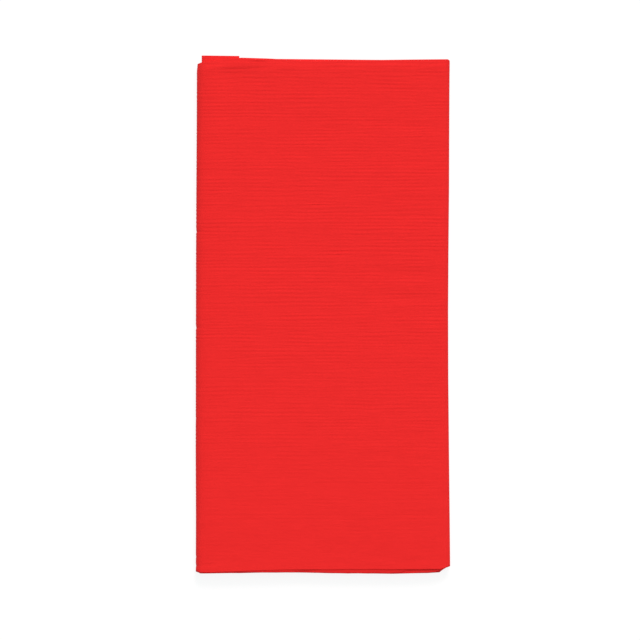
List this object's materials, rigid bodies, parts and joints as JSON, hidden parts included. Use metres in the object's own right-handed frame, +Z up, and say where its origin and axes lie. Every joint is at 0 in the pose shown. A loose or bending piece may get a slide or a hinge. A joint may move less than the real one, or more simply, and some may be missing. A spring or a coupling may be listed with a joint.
{
  "type": "folded paper tablecloth",
  "caption": "Crepe paper tablecloth folded flat into a long rectangular packet, with a rounded spine fold, looped folds and ragged ends.",
  "frame": {"origin": "middle of the packet's underside, on the surface it lies on", "axes": "+X across the packet from the spine fold to the looped folds, +Y along the spine towards the end where the tucked edge shows, +Z up"},
  "size_m": [0.1494, 0.3048, 0.0125],
  "materials": {
    "crepe_paper": "matte, fine cross ribs"
  },
  "bodies": {
    "root": {"tablecloth": "crepe_paper"}
  },
  "joints": []
}
